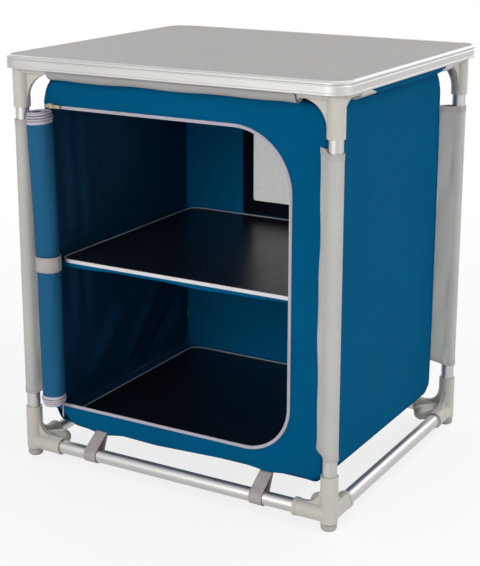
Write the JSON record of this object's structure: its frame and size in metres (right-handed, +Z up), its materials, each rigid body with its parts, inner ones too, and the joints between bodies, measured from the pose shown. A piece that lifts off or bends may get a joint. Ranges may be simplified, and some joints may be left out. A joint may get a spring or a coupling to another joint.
{
  "type": "camping kitchen unit",
  "caption": "Free-standing camping kitchen cupboard: aluminium tube frame, laminate worktop and a hanging fabric cabinet with shelf and roll-up zip door.",
  "frame": {"origin": "on the floor, below the middle of the worktop", "axes": "+Z up, +X to the right seen from the front, +Y to the back"},
  "size_m": [0.6, 0.52, 0.675],
  "materials": {
    "moulded_plastic": "satin warm grey",
    "tube_aluminium": "satin",
    "sleeve_cloth": "woven, light grey",
    "cabinet_cloth": "coated weave, petrol blue",
    "webbing": "ribbed webbing, grey",
    "zip_tape": "twill, lavender grey",
    "zip_metal": "satin",
    "mesh": "open mesh, grey",
    "binding": "folded tape, dark navy",
    "laminate": "fine-textured grey laminate on fibreboard",
    "edge_aluminium": "satin anodised",
    "board": "smooth black foil on fibreboard",
    "trim": "light grey edging"
  },
  "bodies": {
    "frame": {"bottom_rail_back": "tube_aluminium", "bottom_rail_front": "tube_aluminium", "bottom_rail_left": "tube_aluminium", "bottom_rail_right": "tube_aluminium", "cabinet_floor": "cabinet_cloth", "cabinet_top": "cabinet_cloth", "door_roll": "cabinet_cloth", "foot_back_left": "moulded_plastic", "foot_back_right": "moulded_plastic", "foot_front_left": "moulded_plastic", "foot_front_right": "moulded_plastic", "leg_back_left": "tube_aluminium", "leg_back_right": "tube_aluminium", "leg_front_left": "tube_aluminium", "leg_front_right": "tube_aluminium", "leg_sleeve_back_left": "sleeve_cloth", "leg_sleeve_back_right": "sleeve_cloth", "leg_sleeve_front_left": "sleeve_cloth", "leg_sleeve_front_right": "sleeve_cloth", "lower_connector_back_left": "moulded_plastic", "lower_connector_back_right": "moulded_plastic", "lower_connector_front_left": "moulded_plastic", "lower_connector_front_right": "moulded_plastic", "panel_back": "cabinet_cloth", "panel_front": "cabinet_cloth", "panel_left": "cabinet_cloth", "panel_right": "cabinet_cloth", "rail_tie_left": "webbing", "rail_tie_right": "webbing", "roll_strap": "webbing", "roll_tape": "zip_tape", "shelf_sling": "cabinet_cloth", "top_connector_back_left": "moulded_plastic", "top_connector_back_right": "moulded_plastic", "top_connector_front_left": "moulded_plastic", "top_connector_front_right": "moulded_plastic", "top_rail_back": "tube_aluminium", "top_rail_front": "tube_aluminium", "top_rail_left": "tube_aluminium", "top_rail_right": "tube_aluminium", "tunnel_back": "sleeve_cloth", "tunnel_front": "sleeve_cloth", "tunnel_left": "cabinet_cloth", "tunnel_right": "cabinet_cloth", "window_binding": "binding", "window_mesh": "mesh", "zip_tape": "zip_tape"},
    "worktop": {"worktop_board": "laminate", "worktop_edge": "edge_aluminium"},
    "shelf": {"shelf_board": "board", "shelf_trim": "trim"},
    "floor_panel": {"floor_board": "board", "floor_trim": "trim"},
    "slider": {"zip_slider": "zip_metal"},
    "pull": {"zip_pull": "zip_metal"},
    "tab": {"strap_tab": "webbing"}
  },
  "joints": [
    {"name": "worktop_lift", "type": "slide", "parent": "frame", "child": "worktop", "axis": [0, 0, 1], "range_m": [0, 0.06]},
    {"name": "shelf_lift", "type": "slide", "parent": "frame", "child": "shelf", "axis": [0, 0, 1], "range_m": [0, 0.2]},
    {"name": "floor_panel_lift", "type": "slide", "parent": "frame", "child": "floor_panel", "axis": [0, 0, 1], "range_m": [0, 0.2]},
    {"name": "zip_slide", "type": "slide", "parent": "frame", "child": "slider", "axis": [1, 0, 0], "range_m": [0, 0.28]},
    {"name": "zip_pull_hinge", "type": "hinge", "parent": "slider", "child": "pull", "pos_m": [-0.233, -0.2165, 0.5925], "axis": [0, 0, -1], "range_deg": [0, 150]},
    {"name": "strap_tab_hinge", "type": "hinge", "parent": "frame", "child": "tab", "pos_m": [-0.21515, -0.23396, 0.34], "axis": [0, 0, 1], "range_deg": [0, 90]}
  ]
}
